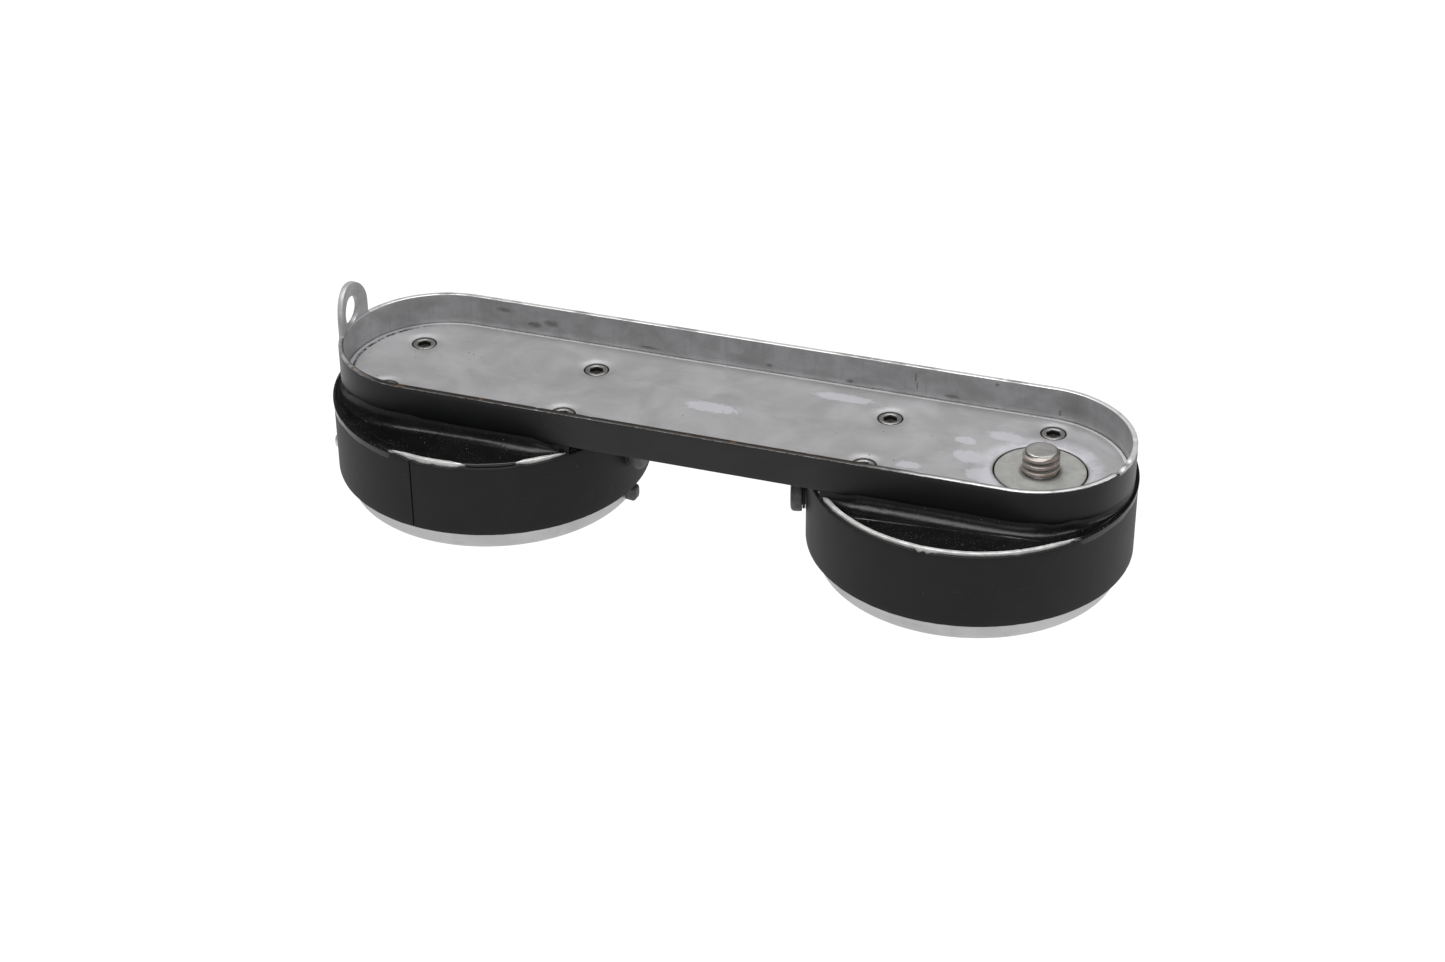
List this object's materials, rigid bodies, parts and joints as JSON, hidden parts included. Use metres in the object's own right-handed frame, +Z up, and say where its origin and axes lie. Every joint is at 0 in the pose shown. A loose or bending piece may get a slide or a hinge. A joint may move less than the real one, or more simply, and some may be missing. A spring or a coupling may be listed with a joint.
{
  "type": "film developing tank",
  "caption": "Flat metal tray on two shallow round film chambers with pull-off lids, spiral reels, side drain plugs, a hanging lug and a threaded clamp stud.",
  "frame": {"origin": "centre of the footprint on the plane the lids rest on", "axes": "+X along the tray towards the clamp stud, the hanging lug at -X; +Z up, lids down"},
  "size_m": [0.1408, 0.0548, 0.0326],
  "materials": {
    "tray_paint": "satin black outside, bare metal rim and inner face",
    "bare_plate": "satin, lightly rubbed",
    "screw_steel": "dull, dark sockets",
    "bare_tube": "bare edge showing at the rim",
    "wrap_black": "matte covering with one butt seam",
    "gloss_black": "thick glossy lacquer",
    "lid_metal": "satin turned metal",
    "seal_rubber": "soft black rubber",
    "trim_grey": "dull dark grey metal",
    "spindle_steel": "turned",
    "reel_plastic": "plain off-white moulding",
    "stud_steel": "worn thread with coppery crests",
    "washer_nylon": "translucent off-white"
  },
  "bodies": {
    "tank": {"tray_band": "tray_paint", "floor_plate": "bare_plate", "plate_screws_left": "screw_steel", "plate_screws_right": "screw_steel", "clamp_seal": "seal_rubber", "chamber_tube_left": "bare_tube", "chamber_wrap_left": "wrap_black", "chamber_roof_left": "gloss_black", "roof_doubler_left": "bare_plate", "saddle_left": "gloss_black", "lid_stop_ring_left": "bare_tube", "side_rivet_left": "screw_steel", "spindle_left": "spindle_steel", "spindle_clip_left": "screw_steel", "drain_bush_left": "screw_steel", "chamber_tube_right": "bare_tube", "chamber_wrap_right": "wrap_black", "chamber_roof_right": "gloss_black", "roof_doubler_right": "bare_plate", "saddle_right": "gloss_black", "lid_stop_ring_right": "bare_tube", "side_rivet_right": "screw_steel", "spindle_right": "spindle_steel", "spindle_clip_right": "screw_steel", "drain_bush_right": "screw_steel"},
    "lid_left": {"lid_left": "lid_metal", "lid_gasket_left": "seal_rubber", "lid_tab_left": "trim_grey"},
    "reel_left": {"reel_hub_left": "reel_plastic", "reel_flange_lower_left": "reel_plastic", "reel_flange_upper_left": "reel_plastic"},
    "drain_plug_left": {"drain_plug_left": "trim_grey", "drain_washer_left": "seal_rubber"},
    "lid_right": {"lid_right": "lid_metal", "lid_gasket_right": "seal_rubber", "lid_tab_right": "trim_grey"},
    "reel_right": {"reel_hub_right": "reel_plastic", "reel_flange_lower_right": "reel_plastic", "reel_flange_upper_right": "reel_plastic"},
    "drain_plug_right": {"drain_plug_right": "trim_grey", "drain_washer_right": "seal_rubber"},
    "clamp_stud": {"clamp_stud": "stud_steel", "clamp_washer": "washer_nylon"}
  },
  "joints": [
    {"name": "lid_left_pull", "type": "slide", "parent": "tank", "child": "lid_left", "axis": [0, 0, -1], "range_m": [0, 0.016]},
    {"name": "reel_left_turn", "type": "hinge", "parent": "tank", "child": "reel_left", "pos_m": [-0.043, 0, 0.009], "axis": [0, 0, 1], "continuous": true},
    {"name": "drain_left_pull", "type": "slide", "parent": "tank", "child": "drain_plug_left", "axis": [0.9903, -0.1392, 0], "range_m": [0, 0.0051]},
    {"name": "lid_right_pull", "type": "slide", "parent": "tank", "child": "lid_right", "axis": [0, 0, -1], "range_m": [0, 0.016]},
    {"name": "reel_right_turn", "type": "hinge", "parent": "tank", "child": "reel_right", "pos_m": [0.043, 0, 0.009], "axis": [0, 0, 1], "continuous": true},
    {"name": "drain_right_pull", "type": "slide", "parent": "tank", "child": "drain_plug_right", "axis": [-0.9563, -0.2924, 0], "range_m": [0, 0.0051]},
    {"name": "clamp_turn", "type": "hinge", "parent": "tank", "child": "clamp_stud", "pos_m": [0.0547, -0.0009, 0.0191], "axis": [0, 0, 1], "continuous": true}
  ]
}
